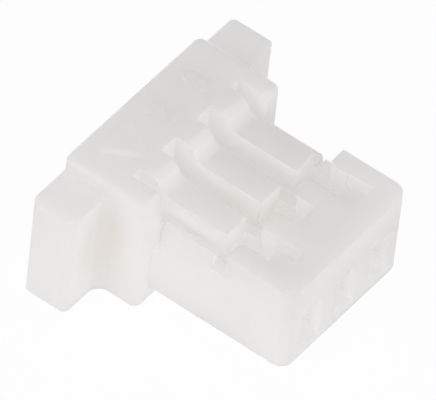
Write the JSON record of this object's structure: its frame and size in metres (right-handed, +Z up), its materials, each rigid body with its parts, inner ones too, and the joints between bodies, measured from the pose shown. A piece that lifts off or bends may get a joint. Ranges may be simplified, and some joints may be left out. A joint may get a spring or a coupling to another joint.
{
  "type": "wire to board connector housing",
  "caption": "Slim plug housing for small crimped wire terminals, with sprung lances over open windows, a thick wire end and a finger wing on each side.",
  "frame": {"origin": "under the middle of the housing, on the surface it rests on", "axes": "+X across the ways, from way 1 to way 3; +Y towards the wire end, so the mating face looks along -Y; +Z up, the side with the lances and windows"},
  "size_m": [0.0058, 0.0048, 0.0026],
  "materials": {
    "nylon": "satin, slightly translucent natural white"
  },
  "bodies": {
    "root": {"housing": "nylon"}
  },
  "joints": []
}
